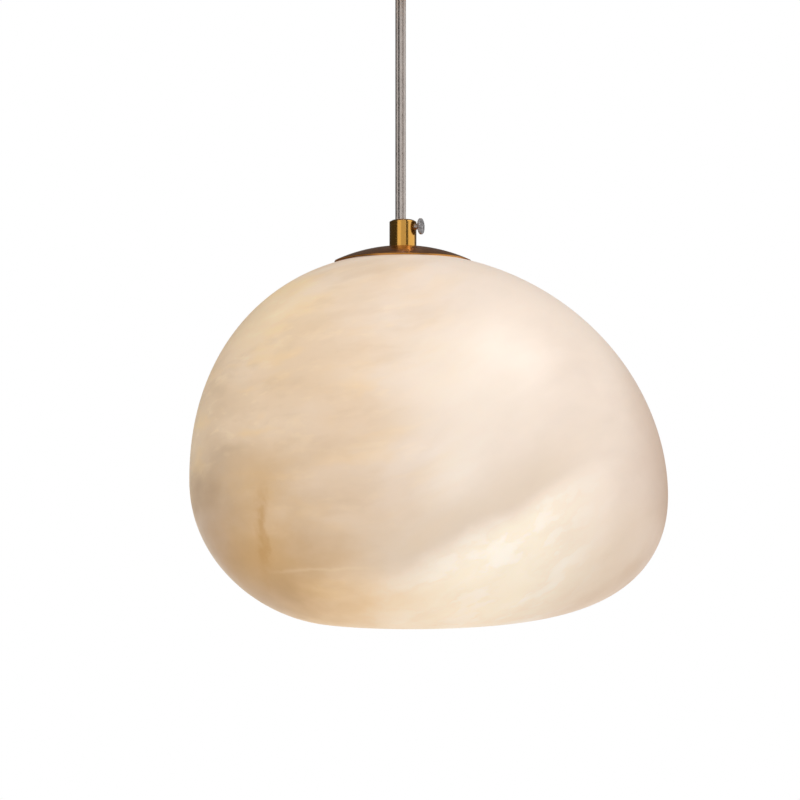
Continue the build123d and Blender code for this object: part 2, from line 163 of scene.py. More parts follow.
# Hanging cord. Three tinned copper cores run straight and side by side in a clear soft PVC sheath of 5.3 mm.
# It hangs from the mouth of the upper grip, and the lower grip's thumbscrew presses on its foot.
CORD_X, CORD_TOP, CORD_FOOT, CORD_RADIUS = -1.15, -38.4, -160.3, 2.65
CORE_RADIUS, CORE_OFFSET, STRANDS, STRAND_DEPTH = 0.92, 1.12, 9, 0.02


def new_finish(name):
    """A new material, its nodes, its shader, and the coordinates in the piece's own mesh."""
    material = bpy.data.materials.new(name)
    material.use_nodes = True
    tree = material.node_tree
    return material, tree, tree.nodes["Principled BSDF"], add(tree, "TexCoord").outputs["Object"]


def skin(name, grid, material, body, nodes=(), crease=40.0):
    """Closed skin over a grid of points in mm. Each row runs round, and the last row joins the first. Rows
    that shrink to a point close as a pole, and the faces are turned so that the volume is positive."""
    rows, columns = grid.shape[:2]
    index = np.arange(rows * columns).reshape(rows, columns)
    beside = np.roll(index, -1, 1)
    quads = np.stack([index, beside, np.roll(beside, -1, 0), np.roll(index, -1, 0)], -1).reshape(-1, 4)
    points = grid.reshape(-1, 3)
    a, b, c, d = (points[quads[:, i]] - points.mean(0) for i in range(4))
    volume = np.sum(a * np.cross(b, c)) + np.sum(a * np.cross(c, d))
    mesh = bpy.data.meshes.new(name)
    mesh.from_pydata((points * MM).tolist(), [], quads[:, ::int(np.sign(volume))].tolist())
    shape = bmesh.new()
    shape.from_mesh(mesh)
    bmesh.ops.remove_doubles(shape, verts=shape.verts, dist=1e-6)
    shape.to_mesh(mesh)
    shape.free()
    mesh.shade_smooth()
    mesh.set_sharp_from_angle(angle=np.radians(crease))
    mesh.materials.append(material)
    piece = bpy.data.objects.new(name, mesh)
    scene.collection.objects.link(piece)
    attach(piece, body)
    if nodes:
        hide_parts(*nodes)
    return piece


def round_the_line(line, radius, angle, offset=0.0):
    """Rows of points round a line that runs close to the vertical: each point of the line, plus the radius at
    each angle in the level plane, plus an offset to the side."""
    out = np.stack(np.broadcast_arrays(radius * np.cos(angle), radius * np.sin(angle), 0 * angle), -1)
    return line[:, None] + out + offset


# Clear PVC: smooth, slightly grey, and bends what lies behind it as glass does.
clear_pvc, tree, shader, own = new_finish("clear_soft_pvc")
haze = add(tree, "TexNoise", {"Vector": own, "Scale": 1000 / 6, "Detail": 3.0})
gloss = add(tree, "MapRange", {"Value": haze, "To Min": 0.0, "To Max": 0.03})
feed(tree, shader, {"Base Color": linear("#f4f3ef"), "Roughness": gloss,
                    "Transmission Weight": 1.0, "IOR": 1.53})

# Tinned copper strand: silvery, a little dull, with faint clouds where the tin lies thicker.
tinned_copper, tree, shader, own = new_finish("tinned_copper_strand")
tin = add(tree, "TexNoise", {"Vector": own, "Scale": 1000 / 9, "Detail": 2.0})
tint = add(tree, "Mix", {0: tin, 6: linear("#b2a8a4"), 7: linear("#c9bfba")}, data_type="RGBA")
feed(tree, shader, {"Base Color": tint, "Metallic": 1.0, "Roughness": 0.25})

# The line that the cord follows is read from its NURBS spline.
route = bpy.data.curves.new("cord_route", "CURVE")
route.dimensions = "3D"
spline = route.splines.new("NURBS")
heights = np.linspace(CORD_TOP, CORD_FOOT, 5)
spline.points.add(len(heights) - 1)
for point, height in zip(spline.points, heights):
    point.co = (CORD_X * MM, 0, height * MM, 1)
spline.order_u = 3
spline.use_endpoint_u = True
spline.resolution_u = 12
guide = bpy.data.objects.new("cord_route", route)
traced = bpy.data.meshes.new_from_object(guide)
line = np.zeros(len(traced.vertices) * 3)
traced.vertices.foreach_get("co", line)
line = line.reshape(-1, 3)
bpy.data.objects.remove(guide)
bpy.data.meshes.remove(traced)

# The sheath starts in a ball, on which it swings in the upper grip, and ends flat. The cores are flat at both
# ends, with nine faint ridges from their wires.
course = line / MM
around = np.linspace(0, 2 * np.pi, 40, endpoint=False)
arc = np.linspace(0, np.pi / 2, 10)[:-1]
ball = np.stack([0 * arc, 0 * arc, CORD_RADIUS * np.cos(arc)], -1) + course[0]
width = np.concatenate([CORD_RADIUS * np.sin(arc), np.full(len(course), CORD_RADIUS), [0]])[:, None]
tube = round_the_line(np.concatenate([ball, course, course[-1:]]), width, around)
sheath = skin("cord_sheath", tube, clear_pvc, "cord", ["supply_cord"])
lobes = CORE_RADIUS * (1 - STRAND_DEPTH + STRAND_DEPTH * np.cos(STRANDS * around))
ends = np.concatenate([[0], np.ones(len(course)), [0]])[:, None]
capped = np.concatenate([course[:1], course, course[-1:]])
cores = []
for name, way in (("live", -94), ("neutral", 26), ("earth", 146)):
    aside = CORE_OFFSET * np.array([np.cos(np.radians(way)), np.sin(np.radians(way)), 0])
    strand = round_the_line(capped, ends * lobes, around, aside)
    cores.append(skin("cord_core_" + name, strand, tinned_copper, "cord"))
for piece in (sheath, *cores):
    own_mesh(piece)

# Ceiling bracket, its studs and nuts, the threaded tubes and the clamp: pressed and turned mild steel,
# zinc plated, screwed together. The plate is a half dull bluish grey with faint yellow clouds.
zinc_plate, tree, shader, own = new_finish("zinc_plated_steel")
bloom = add(tree, "TexNoise", {"Vector": own, "Scale": 1000 / 7, "Detail": 4.0})
tint = add(tree, "Mix", {0: bloom, 6: linear("#a9adae"), 7: linear("#c9c5b6")}, data_type="RGBA")
gloss = add(tree, "MapRange", {"Value": bloom, "To Min": 0.28, "To Max": 0.46})
feed(tree, shader, {"Base Color": tint, "Roughness": gloss, "Metallic": 1.0})


def dress(material, *names):
    """Gives CAD nodes whose shape is right a material of the scene."""
    for name in names:
        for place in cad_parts[name].material_slots:
            place.material = material


dress(zinc_plate, "mounting_bracket", "bracket_studs", "stud_nuts", "upper_nipple", "upper_lock_washer",
      "upper_lock_nut", "terminal_screws", "block_screw", "hanger_nipple", "clamp_plate", "clamp_washer",
      "clamp_nut")

# Connector under the bracket's tab: a moulded polyamide block round two brass barrels, with the cord's three
# cores in coloured PVC. The polyamide is off-white and lets a little light in.
LEAD_SLANT = (0.6, 0.45, 0.66)
polyamide, tree, shader, own = new_finish("moulded_polyamide")
cloud = add(tree, "TexNoise", {"Vector": own, "Scale": 1000 / 3, "Detail": 3.0})
tint = add(tree, "Mix", {0: cloud, 6: linear("#dedbd0"), 7: linear("#f1eee6")}, data_type="RGBA")
feed(tree, shader, {"Base Color": tint, "Roughness": 0.45,
                    "Subsurface Weight": 0.1, "Subsurface Scale": 0.002})
dress(polyamide, "terminal_block")

# Coloured PVC: extruded, with faint streaks in brown and blue, and with slanting stripes in green and yellow.
for nodes, dark, light, stripe in (
    (("live_lead", "lamp_live_lead"), "#4c2714", "#5d331d", 1.0),
    (("neutral_lead", "lamp_neutral_lead"), "#1b4aa0", "#2b5cb5", 1.0),
    (("earth_lead", "lamp_earth_lead"), "#3c8a2e", "#e3c62b", 2.2),
):
    lead_pvc, tree, shader, own = new_finish("pvc_" + nodes[0])
    slant = add(tree, "VectorMath", {0: own, 1: LEAD_SLANT}, operation="DOT_PRODUCT")
    wave = add(tree, "Math", {0: slant, 1: 2 * np.pi * 1000 / stripe}, operation="MULTIPLY")
    wave = add(tree, "Math", {0: wave}, operation="SINE")
    edge = add(tree, "MapRange", {"Value": wave, "From Min": 0.2, "From Max": 0.4})
    tint = add(tree, "Mix", {0: edge, 6: linear(dark), 7: linear(light)}, data_type="RGBA")
    feed(tree, shader, {"Base Color": tint, "Roughness": 0.32})
    dress(lead_pvc, *nodes)

# Clear PVC on the fixed ends of the cord, which are single solids: the cores show as silvery lines along it.
clear_tail, tree, shader, own = new_finish("clear_pvc_over_cores")
drawn = add(tree, "Mapping", {"Vector": own, "Scale": (1.0, 1.0, 0.02)})
wires = add(tree, "TexNoise", {"Vector": drawn, "Scale": 1000 / 1.2, "Detail": 2.0})
tint = add(tree, "Mix", {0: wires, 6: linear("#8d8883"), 7: linear("#cfcac4")}, data_type="RGBA")
feed(tree, shader, {"Base Color": tint, "Roughness": 0.12})
dress(clear_tail, "cord_top_tail", "cord_lower_tail")

# Canopy, cord grips and the small parts beside them: brass, spun or turned, polished to a warm mirror and
# lacquered. The tool's lines round the axis are drawn at 0.6 mm because the real ones are too fine to show.
GRIP_RADIUS, GRIP_LENGTH, GRIP_BORE, MOUTH_FLARE = 6.75, 13.4, 4.1, 1.0
RIM_WIDTH, RIM_DROP = 1.4, 0.8
SOCKET_RADIUS, SOCKET_DEPTH = 5.05, 6.0
UPPER_MOUTH, LOWER_MOUTH = -38.4, -153.3

polished_brass, tree, shader, own = new_finish("polished_brass")
flat = add(tree, "VectorMath", {0: own, 1: (1, 1, 0)}, operation="MULTIPLY")
radius = add(tree, "VectorMath", {0: flat}, operation="LENGTH")
height = add(tree, "SeparateXYZ", {0: own}).outputs["Z"]
along = add(tree, "Math", {0: radius, 1: height}, operation="ADD")
tooling = add(tree, "TexNoise", {"W": along, "Scale": 1000 / 0.6, "Detail": 2.0}, noise_dimensions="1D")
bloom = add(tree, "TexNoise", {"Vector": own, "Scale": 1000 / 14, "Detail": 4.0})
tint = add(tree, "Mix", {0: bloom, 6: linear("#d99a35"), 7: linear("#e9b45c")}, data_type="RGBA")
gloss = add(tree, "MapRange", {"Value": tooling, "From Min": 0.3, "From Max": 0.7,
                               "To Min": 0.12, "To Max": 0.24})
lines = add(tree, "Bump", {"Height": tooling, "Strength": 0.04, "Distance": 0.0002})
feed(tree, shader, {"Base Color": tint, "Roughness": gloss, "Normal": lines, "Metallic": 1.0,
                    "Coat Weight": 0.5, "Coat Roughness": 0.1})
dress(polished_brass, "canopy", "canopy_cap_nuts", "terminal_barrels", "earth_screw")


def rounded(corners, reach, steps=7):
    """Closed outline through corners, each eased by a parabola that starts and ends its reach away."""
    corner, reach = np.array(corners, float)[:, None], np.array(reach, float)[:, None, None]
    before, after = np.roll(corner, 1, 0) - corner, np.roll(corner, -1, 0) - corner
    before = reach * before / np.linalg.norm(before, axis=-1, keepdims=True)
    after = reach * after / np.linalg.norm(after, axis=-1, keepdims=True)
    t = np.linspace(0, 1, steps)[:, None]
    return (corner + before * (1 - t) ** 2 + after * t**2).reshape(-1, 2)


def turned(outline, steps=96):
    """Carries a closed outline of radius and height once round the hanging axis, by cosine and sine."""
    angle = np.linspace(0, 2 * np.pi, steps, endpoint=False)
    radius, height = outline[:, :1], outline[:, 1:]
    return np.stack(np.broadcast_arrays(radius * np.cos(angle), radius * np.sin(angle), height), -1)


sleeve = rounded(
    [(GRIP_BORE + MOUTH_FLARE, 0), (GRIP_RADIUS - RIM_WIDTH, 0), (GRIP_RADIUS, -RIM_DROP),
     (GRIP_RADIUS, -GRIP_LENGTH), (SOCKET_RADIUS, -GRIP_LENGTH), (SOCKET_RADIUS, SOCKET_DEPTH - GRIP_LENGTH),
     (GRIP_BORE, SOCKET_DEPTH - GRIP_LENGTH), (GRIP_BORE, -MOUTH_FLARE)],
    [0.1, 0.1, 0.15, 0.2, 0.2, 0.1, 0.1, 0.4])
for name, outline, body in (("lower", sleeve + (0, LOWER_MOUTH), "hanger"),
                            ("upper", sleeve * (1, -1) + (0, UPPER_MOUTH), "ceiling_rose")):
    skin(name + "_grip_sleeve", turned(outline), polished_brass, body, [name + "_cord_grip"])

# Thumbscrews: turned steel with a thin knurled head to grip and the lathe's centre in its face. Each is
# screwed into the side of its sleeve, 22 degrees towards the front, until its tip presses on the cord.
SCREW_DROP, SCREW_TURN = 3.5, 22.0
TIP, SHANK_RADIUS, CENTRE_RADIUS, CENTRE_DEPTH = 1.68, 1.5, 1.0, 0.6
HEAD_RADIUS, HEAD_START, HEAD_END = 4.0, 9.0, 10.2
KNURLS, KNURL_DEPTH, KNURL_STEPS = 24, 0.35, 8

# Nickel plate: silvery and dull, mottled with darker clouds.
nickel_plate, tree, shader, own = new_finish("nickel_plated_steel")
bloom = add(tree, "TexNoise", {"Vector": own, "Scale": 1000 / 1.5, "Detail": 4.0, "Roughness": 0.65})
bloom = add(tree, "MapRange", {"Value": bloom, "From Min": 0.3, "From Max": 0.7})
tint = add(tree, "Mix", {0: bloom, 6: linear("#8f8c8d"), 7: linear("#d6d3d4")}, data_type="RGBA")
gloss = add(tree, "MapRange", {"Value": bloom, "To Min": 0.34, "To Max": 0.6})
feed(tree, shader, {"Base Color": tint, "Roughness": gloss, "Metallic": 1.0})

# The knurls are cosine ridges that fade from the head's edge to the shank.
shank = rounded(
    [(0, TIP), (SHANK_RADIUS, TIP), (SHANK_RADIUS, HEAD_START), (HEAD_RADIUS, HEAD_START),
     (HEAD_RADIUS, HEAD_END), (CENTRE_RADIUS, HEAD_END), (0, HEAD_END - CENTRE_DEPTH)],
    [0, 0.3, 0.2, 0.25, 0.25, 0.1, 0])
knob = turned(shank, KNURL_STEPS * KNURLS)
ridge = np.cos(np.linspace(0, 2 * np.pi * KNURLS, KNURL_STEPS * KNURLS, endpoint=False))
grip = np.clip((shank[:, 0] - SHANK_RADIUS) / (HEAD_RADIUS - SHANK_RADIUS), 0, 1)[:, None] ** 4
knob[..., :2] *= (1 - grip * KNURL_DEPTH / HEAD_RADIUS * (0.5 - 0.5 * ridge))[..., None]
for name, height, lean in (("lower_thumbscrew", LOWER_MOUTH - SCREW_DROP, -SCREW_TURN),
                           ("upper_thumbscrew", UPPER_MOUTH + SCREW_DROP, SCREW_TURN)):
    c, s = np.cos(np.radians(lean)), np.sin(np.radians(lean))
    turn = np.array([(0, 0, -1), (-s, c, 0), (c, s, 0)])
    skin(name + "_knob", knob @ turn + (0, 0, height), nickel_plate, name, [name])

# Cap: a shallow dome spun from brass sheet, with a flat for the grip's foot and a short lip that sits on the
# stone. The grip presses it down on its gasket.
CAP_RADIUS, CAP_HEIGHT, CAP_LIP, CAP_FLAT, CAP_SHEET, CAP_HOLE = 34.2, 7.7, 0.4, 7.2, 0.8, 5.3
LIP_EASE = 0.15
FOOT = LOWER_MOUTH - GRIP_LENGTH
# The dome is part of a ball through the edge of the flat and the lip. Its middle lies an arm under the foot.
rise = CAP_HEIGHT - CAP_LIP
arm = (CAP_RADIUS**2 - CAP_FLAT**2 + rise**2) / (2 * rise)
dome = np.hypot(CAP_FLAT, arm)


def dome_line(low, high, ball):
    """Points from one radius to another on a ball round the dome's middle, their heights by Pythagoras."""
    reach = np.linspace(low, high, 40)
    return np.stack([reach, FOOT - arm + np.sqrt(ball**2 - reach**2)], -1)


above = dome_line(CAP_FLAT, CAP_RADIUS, dome)
below = dome_line(CAP_RADIUS - LIP_EASE, CAP_HOLE, dome - CAP_SHEET)
lip = np.array([(CAP_RADIUS, FOOT - CAP_HEIGHT + LIP_EASE), (CAP_RADIUS - LIP_EASE, FOOT - CAP_HEIGHT)])
hole = np.array([(CAP_HOLE, FOOT)])
spun = turned(np.concatenate([hole, above, lip, below]), 160)

# Spun brass: browner than the polished parts, with a satin from the spinning that blurs what it mirrors. Its
# lines are drawn at 0.7 mm because the real ones are too fine to show.
spun_brass, tree, shader, own = new_finish("satin_spun_brass")
flat = add(tree, "VectorMath", {0: own, 1: (1, 1, 0)}, operation="MULTIPLY")
radius = add(tree, "VectorMath", {0: flat}, operation="LENGTH")
tooling = add(tree, "TexNoise", {"W": radius, "Scale": 1000 / 0.7, "Detail": 2.0}, noise_dimensions="1D")
bloom = add(tree, "TexNoise", {"Vector": own, "Scale": 1000 / 12, "Detail": 5.0})
tint = add(tree, "Mix", {0: bloom, 6: linear("#b9772c"), 7: linear("#d39846")}, data_type="RGBA")
gloss = add(tree, "MapRange", {"Value": tooling, "From Min": 0.3, "From Max": 0.7,
                               "To Min": 0.26, "To Max": 0.4})
lines = add(tree, "Bump", {"Height": tooling, "Strength": 0.06, "Distance": 0.0002})
feed(tree, shader, {"Base Color": tint, "Roughness": gloss, "Normal": lines, "Metallic": 1.0,
                    "Specular Tint": linear("#d9a878"), "Coat Weight": 0.8, "Coat Roughness": 0.25})
skin("spun_cap", spun, spun_brass, "shade", ["shade_cap"])

# Shade: a hollow, lopsided pebble carved from alabaster and honed to a satin, with a hole on top for the
# threaded tube and a round mouth below for the bulb. Each level slice is an ellipse.
CREST_FLAT, SEAT_DEPTH, BASE_FLAT, FLOOR_FLAT = 1.2, 9.5, 2.2, 3.0
STONE_HEIGHT, WALL, CREST_X, BASE_X = 183.6, 9.0, 1.8, -35.0
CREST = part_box("shade_crown")[1][2] / MM + CREST_FLAT
BASE = CREST - STONE_HEIGHT
MOUTH_X, MOUTH_RADIUS, MOUTH_ROUND, TUBE_HOLE = 4.0, 35.0, 2.0, 5.3
# Each side's reach, its widest level under the crest, its powers above and below, and its shifts at the ends.
LEFT = (105.8, 112.1, (2.14, 2.23), (2.05, 1.77), CREST_X, BASE_X)
RIGHT = (130.9, 119.4, (1.93, 1.99), (2.17, 4.52), -CREST_X, -BASE_X)
DEPTH = (104.0, 113.3, (1.95, 2.37), (2.1, 3.0), 0.0, 0.0)


def stands_out(z, side, inset):
    """How far one side stands out at heights z: its reach, from the middle of the top or the bottom, times
    (1 - t^p)^(1/q). t is the share of the way there from its widest level, and p and q differ up and down."""
    reach, belt, upper, lower, crest_shift, base_shift = side
    widest = CREST - belt
    up = np.clip((z - widest) / (CREST - inset - widest), 0, 1)
    down = np.clip((widest - z) / (widest - BASE - inset), 0, 1)
    over = (reach - inset + crest_shift) * (1 - up ** upper[0]) ** (1 / upper[1]) - crest_shift
    under = (reach - inset + base_shift) * (1 - down ** lower[0]) ** (1 / lower[1]) - base_shift
    return np.where(z >= widest, over, under)


def slices(low, high, inset, count):
    """Ellipses as middle, half width, half depth and height, spaced by a cosine, so closer at the ends."""
    z = low + (high - low) * (1 - np.cos(np.linspace(0, np.pi, count))) / 2
    left, right, depth = (stands_out(z, side, inset) for side in (LEFT, RIGHT, DEPTH))
    return np.stack([(right - left) / 2, (right + left) / 2, depth, z], -1)


def between(first, last, count):
    """Ellipses that change evenly from one to another, without either of them."""
    share = np.linspace(0, 1, count + 2)[1:-1, None]
    return first + (last - first) * share


outside = slices(CREST - CREST_FLAT, BASE + BASE_FLAT, 0, 110)
inside = slices(BASE + WALL + FLOOR_FLAT, CREST - CREST_FLAT - SEAT_DEPTH, WALL, 90)
bend = np.linspace(0, np.pi / 2, 9)
wide = MOUTH_RADIUS + MOUTH_ROUND * (1 - np.sin(bend))
mouth = np.stack([0 * bend + MOUTH_X, wide, wide, BASE + BASE_FLAT + MOUTH_ROUND * (1 - np.cos(bend))], -1)
brim = np.array([[MOUTH_X, MOUTH_RADIUS, MOUTH_RADIUS, inside[0, 3]]])
seat = np.array([[0, TUBE_HOLE, TUBE_HOLE, inside[-1, 3]]])
crown = np.array([[0, TUBE_HOLE, TUBE_HOLE, outside[0, 3]]])
rings = np.concatenate([
    outside, between(outside[-1], mouth[0], 12), mouth, between(mouth[-1], brim[0], 3), brim,
    between(brim[0], inside[0], 12), inside, between(inside[-1], seat[0], 8), seat,
    between(seat[0], crown[0], 3), crown, between(crown[0], outside[0], 8)])
angle = np.linspace(0, 2 * np.pi, 180, endpoint=False)
middle, half, deep, level = (rings[:, i:i + 1] for i in range(4))
stone = np.stack(np.broadcast_arrays(middle + half * np.cos(angle), deep * np.sin(angle), level), -1)

# Honed alabaster: translucent gypsum with a satin gloss. The bulb's light through the wall is painted on as a
# glow in the stone's own colours, which also evens out its shading. Its pattern runs through the whole block,
# with lengths in metres, as the mesh has them.
SWIRL = (0.024, 0.024, 0.012)
BED_TURN, BED_BEND, BED_CLIMB, BED_FALL, BED_DEPTH = 0.004, 0.015, 0.285, 0.15, 0.3365
STAIN_OR_SHADE_EDGE = 0.022
VEIN_LEFT, VEIN_WOBBLE = 0.057, 0.012
SEAM_RISE, SEAM_HALF = 0.0025, 0.0012
PAINTED_STONE_GLOW = 0.28
alabaster, tree, shader, own = new_finish("honed_alabaster")
smooth = {"interpolation_type": "SMOOTHSTEP"}

# The beds lie level on the left and climb to the right, turning in a hyperbola near the axis, and they fall
# towards the back. A swirl moves them a little. over_bed is the height over the main bed's lower edge.
swirl = add(tree, "TexNoise", {"Vector": own, "Scale": 1000 / 60, "Detail": 5.0, "Roughness": 0.55})
swirl = add(tree, "VectorMath", {0: swirl.outputs["Color"], 1: (0.5, 0.5, 0.5)}, operation="SUBTRACT")
flow = add(tree, "VectorMath", {0: swirl, 1: SWIRL, 2: own}, operation="MULTIPLY_ADD")
x, y, z = add(tree, "SeparateXYZ", {0: flow}).outputs
past_turn = add(tree, "Math", {0: x, 1: BED_TURN}, operation="ADD")
climb = add(tree, "Math", {0: past_turn, 1: past_turn, 2: BED_BEND**2}, operation="MULTIPLY_ADD")
climb = add(tree, "Math", {0: climb}, operation="SQRT")
climb = add(tree, "Math", {0: past_turn, 1: climb}, operation="ADD")
over_bed = add(tree, "Math", {0: climb, 1: -BED_CLIMB, 2: z}, operation="MULTIPLY_ADD")
over_bed = add(tree, "Math", {0: y, 1: BED_FALL, 2: over_bed}, operation="MULTIPLY_ADD")
over_bed = add(tree, "Math", {0: over_bed, 1: BED_DEPTH}, operation="ADD")
bedded = add(tree, "CombineXYZ", {0: x, 1: y, 2: over_bed})
cloud_bed = add(tree, "Mapping", {"Vector": bedded, "Scale": (1.0, 1.0, 1.9)})
wisp_bed = add(tree, "Mapping", {"Vector": bedded, "Scale": (1.0, 1.0, 2.8)})

# Honey coloured clouds of four sizes on the left thin out to a pinkish white, and the browner tone towards
# the far right is painted shade at the stone's right edge.
clouds = add(tree, "TexNoise", {"Vector": cloud_bed, "Scale": 1000 / 50, "Detail": 4.0, "Roughness": 0.5})
rightward = add(tree, "Math", {0: clouds, 1: 0.14, 2: x}, operation="MULTIPLY_ADD")
rightward = add(tree, "MapRange", {"Value": rightward, "From Min": -0.02, "From Max": 0.12}, **smooth)
tint = add(tree, "Mix", {0: rightward, 6: linear("#dfc5a6"), 7: linear("#e2d2c3")}, data_type="RGBA")
leftward = add(tree, "MapRange", {"Value": x, "From Min": 0.05, "From Max": -0.06}, **smooth)
for size, low, high, depth, colour in ((60, 0.47, 0.64, 0.5, "#d0b698"), (34, 0.48, 0.72, 0.5, "#eac993"),
                                       (22, 0.5, 0.7, 0.35, "#ccb192"), (12, 0.54, 0.74, 0.3, "#f2dcba")):
    patch = add(tree, "TexNoise", {"Vector": wisp_bed, "Scale": 1000 / size, "Detail": 4.0, "Roughness": 0.5})
    patch = add(tree, "MapRange", {"Value": patch, "From Min": low, "From Max": high,
                                   "To Max": depth}, **smooth)
    patch = add(tree, "Math", {0: patch, 1: leftward}, operation="MULTIPLY")
    tint = add(tree, "Mix", {0: patch, 6: tint, 7: linear(colour)}, data_type="RGBA")
# Painted shade darkens the far right edge to a brown, where the stone turns away.
right_edge_shade = add(tree, "MapRange", {"Value": x, "From Min": 0.085, "From Max": 0.132,
                                   "To Max": 0.85}, **smooth)
tint = add(tree, "Mix", {0: right_edge_shade, 6: tint, 7: linear("#c2a894")}, data_type="RGBA")

# The main bed is grey, sharp below and soft above. Under it lie pale crystals with honey coloured shores.
sharp_edge = add(tree, "MapRange", {"Value": over_bed, "From Min": -0.005, "From Max": 0.005}, **smooth)
soft_edge = add(tree, "MapRange", {"Value": over_bed, "From Min": 0.03, "From Max": 0.004,
                                   "To Max": 0.6}, **smooth)
bed_end = add(tree, "MapRange", {"Value": x, "From Min": 0.105, "From Max": 0.055}, **smooth)
grey_bed = add(tree, "Math", {0: sharp_edge, 1: soft_edge}, operation="MULTIPLY")
grey_bed = add(tree, "Math", {0: grey_bed, 1: bed_end}, operation="MULTIPLY")
tint = add(tree, "Mix", {0: grey_bed, 6: tint, 7: linear("#d3bfa8")}, data_type="RGBA")
crystals = add(tree, "TexNoise", {"Vector": cloud_bed, "Scale": 1000 / 19, "Detail": 5.0, "Roughness": 0.55})
islands = add(tree, "MapRange", {"Value": crystals, "From Min": 0.33, "From Max": 0.66}, **smooth)
patches = add(tree, "Mix", {0: islands, 6: linear("#f6e8d2"), 7: linear("#f9efe1")}, data_type="RGBA")
shore = add(tree, "Math", {0: crystals, 1: 0.47}, operation="SUBTRACT")
shore = add(tree, "Math", {0: shore}, operation="ABSOLUTE")
shore = add(tree, "MapRange", {"Value": shore, "From Min": 0.06, "From Max": 0.0, "To Max": 0.2}, **smooth)
patches = add(tree, "Mix", {0: shore, 6: patches, 7: linear("#e6d0b0")}, data_type="RGBA")
under_bed = add(tree, "MapRange", {"Value": over_bed, "From Min": 0.004, "From Max": -0.01}, **smooth)
for start, full in ((-0.045, 0.03), (0.105, 0.045)):
    end = add(tree, "MapRange", {"Value": x, "From Min": start, "From Max": full}, **smooth)
    under_bed = add(tree, "Math", {0: under_bed, 1: end}, operation="MULTIPLY")
tint = add(tree, "Mix", {0: under_bed, 6: tint, 7: patches}, data_type="RGBA")

# Stains, with some painted shade and a painted highlight among them, each with its place, the distances at
# which it starts and is full, its depth and its colour. The iron stains on the lower left come last.
for place, start, full, depth, colour in (
    ((-0.078, -0.05, -0.18), 0.065, 0.0, 0.7, "#f3dcb6"),
    ((-0.105, -0.02, -0.265), 0.05, 0.0, 0.4, "#ecd9bd"),
    ((-0.05, -0.09, -0.237), 0.05, 0.01, 0.3, "#d8bc9c"),
    ((-0.03, -0.095, -0.285), 0.06, 0.0, 0.4, "#c6a98a"),
    # Partly a painted highlight: a pale cloud where the key lamp's sheen lies on the upper right.
    ((0.03, -0.1, -0.23), 0.045, 0.0, 0.4, "#f0e5d7"),
    ((0.022, -0.105, -0.274), 0.026, 0.0, 0.35, "#f3eadd"),
    ((0.085, -0.07, -0.24), 0.05, 0.0, 0.35, "#cbb8a8"),
    # Painted shade: these three darken the lower right edge and the underside, where the stone curves away
    # from the light.
    ((0.095, -0.06, -0.335), 0.065, 0.0, 0.4, "#dfc29e"),
    ((0.14, 0.02, -0.325), 0.085, 0.03, 0.55, "#bf9b78"),
    ((0.13, -0.02, -0.46), 0.16, 0.12, 0.5, "#c9a078"),
    ((0.0, -0.055, -0.385), 0.085, 0.03, 0.6, "#eecb9c"),
    ((-0.066, -0.06, -0.345), 0.075, 0.012, 0.7, "#cf9a42"),
    ((-0.092, -0.038, -0.327), 0.06, 0.02, 0.6, "#a98a6a"),
    ((-0.086, -0.063, -0.312), 0.073, 0.018, 0.6, "#a68d74"),
    ((-0.08, -0.066, -0.334), 0.055, 0.01, 0.7, "#aa7f46"),
):
    stain_or_shade = add(tree, "VectorMath", {0: flow, 1: place}, operation="DISTANCE")
    stain_or_shade = add(tree, "Math", {0: clouds, 1: 2 * STAIN_OR_SHADE_EDGE, 2: stain_or_shade}, operation="MULTIPLY_ADD")
    stain_or_shade = add(tree, "MapRange", {"Value": stain_or_shade, "From Min": start + STAIN_OR_SHADE_EDGE,
                                   "From Max": full + STAIN_OR_SHADE_EDGE, "To Max": depth}, **smooth)
    tint = add(tree, "Mix", {0: stain_or_shade, 6: tint, 7: linear(colour)}, data_type="RGBA")

# An upright iron vein on the left, amber and broken into spots, with a halo, and a thin pale seam in the bed.
wobble = add(tree, "TexNoise", {"Vector": own, "Scale": 1000 / 9, "Detail": 4.0, "Roughness": 0.6})
crack = add(tree, "SeparateXYZ", {0: own}).outputs["X"]
crack = add(tree, "Math", {0: wobble, 1: VEIN_WOBBLE, 2: crack}, operation="MULTIPLY_ADD")
crack = add(tree, "Math", {0: crack, 1: VEIN_LEFT}, operation="ADD")
crack = add(tree, "Math", {0: crack}, operation="ABSOLUTE")
spots = add(tree, "TexNoise", {"Vector": own, "Scale": 1000 / 8, "Detail": 3.0})
spots = add(tree, "MapRange", {"Value": spots, "From Min": 0.42, "From Max": 0.58, "To Min": 0.5}, **smooth)
amber_foot = add(tree, "MapRange", {"Value": over_bed, "From Min": -0.012, "From Max": 0.01}, **smooth)
for reach, top, colour, limits in ((0.026, 0.07, "#c9a064", [amber_foot]),
                                   (0.004, 0.045, "#ae7d38", [amber_foot, spots])):
    amber = add(tree, "MapRange", {"Value": crack, "From Min": reach, "From Max": 0.0,
                                   "To Max": 0.5}, **smooth)
    amber_top = add(tree, "MapRange", {"Value": over_bed, "From Min": top, "From Max": 0.6 * top}, **smooth)
    for limit in (amber_top, *limits):
        amber = add(tree, "Math", {0: amber, 1: limit}, operation="MULTIPLY")
    tint = add(tree, "Mix", {0: amber, 6: tint, 7: linear(colour)}, data_type="RGBA")
seam = add(tree, "Math", {0: over_bed, 1: SEAM_RISE}, operation="SUBTRACT")
seam = add(tree, "Math", {0: seam}, operation="ABSOLUTE")
seam = add(tree, "MapRange", {"Value": seam, "From Min": SEAM_HALF, "From Max": 0.0,
                              "To Max": 0.14}, **smooth)
for start, full in ((0.0, -0.03), (-0.065, -0.045)):
    end = add(tree, "MapRange", {"Value": x, "From Min": start, "From Max": full}, **smooth)
    seam = add(tree, "Math", {0: seam, 1: end}, operation="MULTIPLY")
tint = add(tree, "Mix", {0: seam, 6: tint, 7: linear("#f0dcba")}, data_type="RGBA")

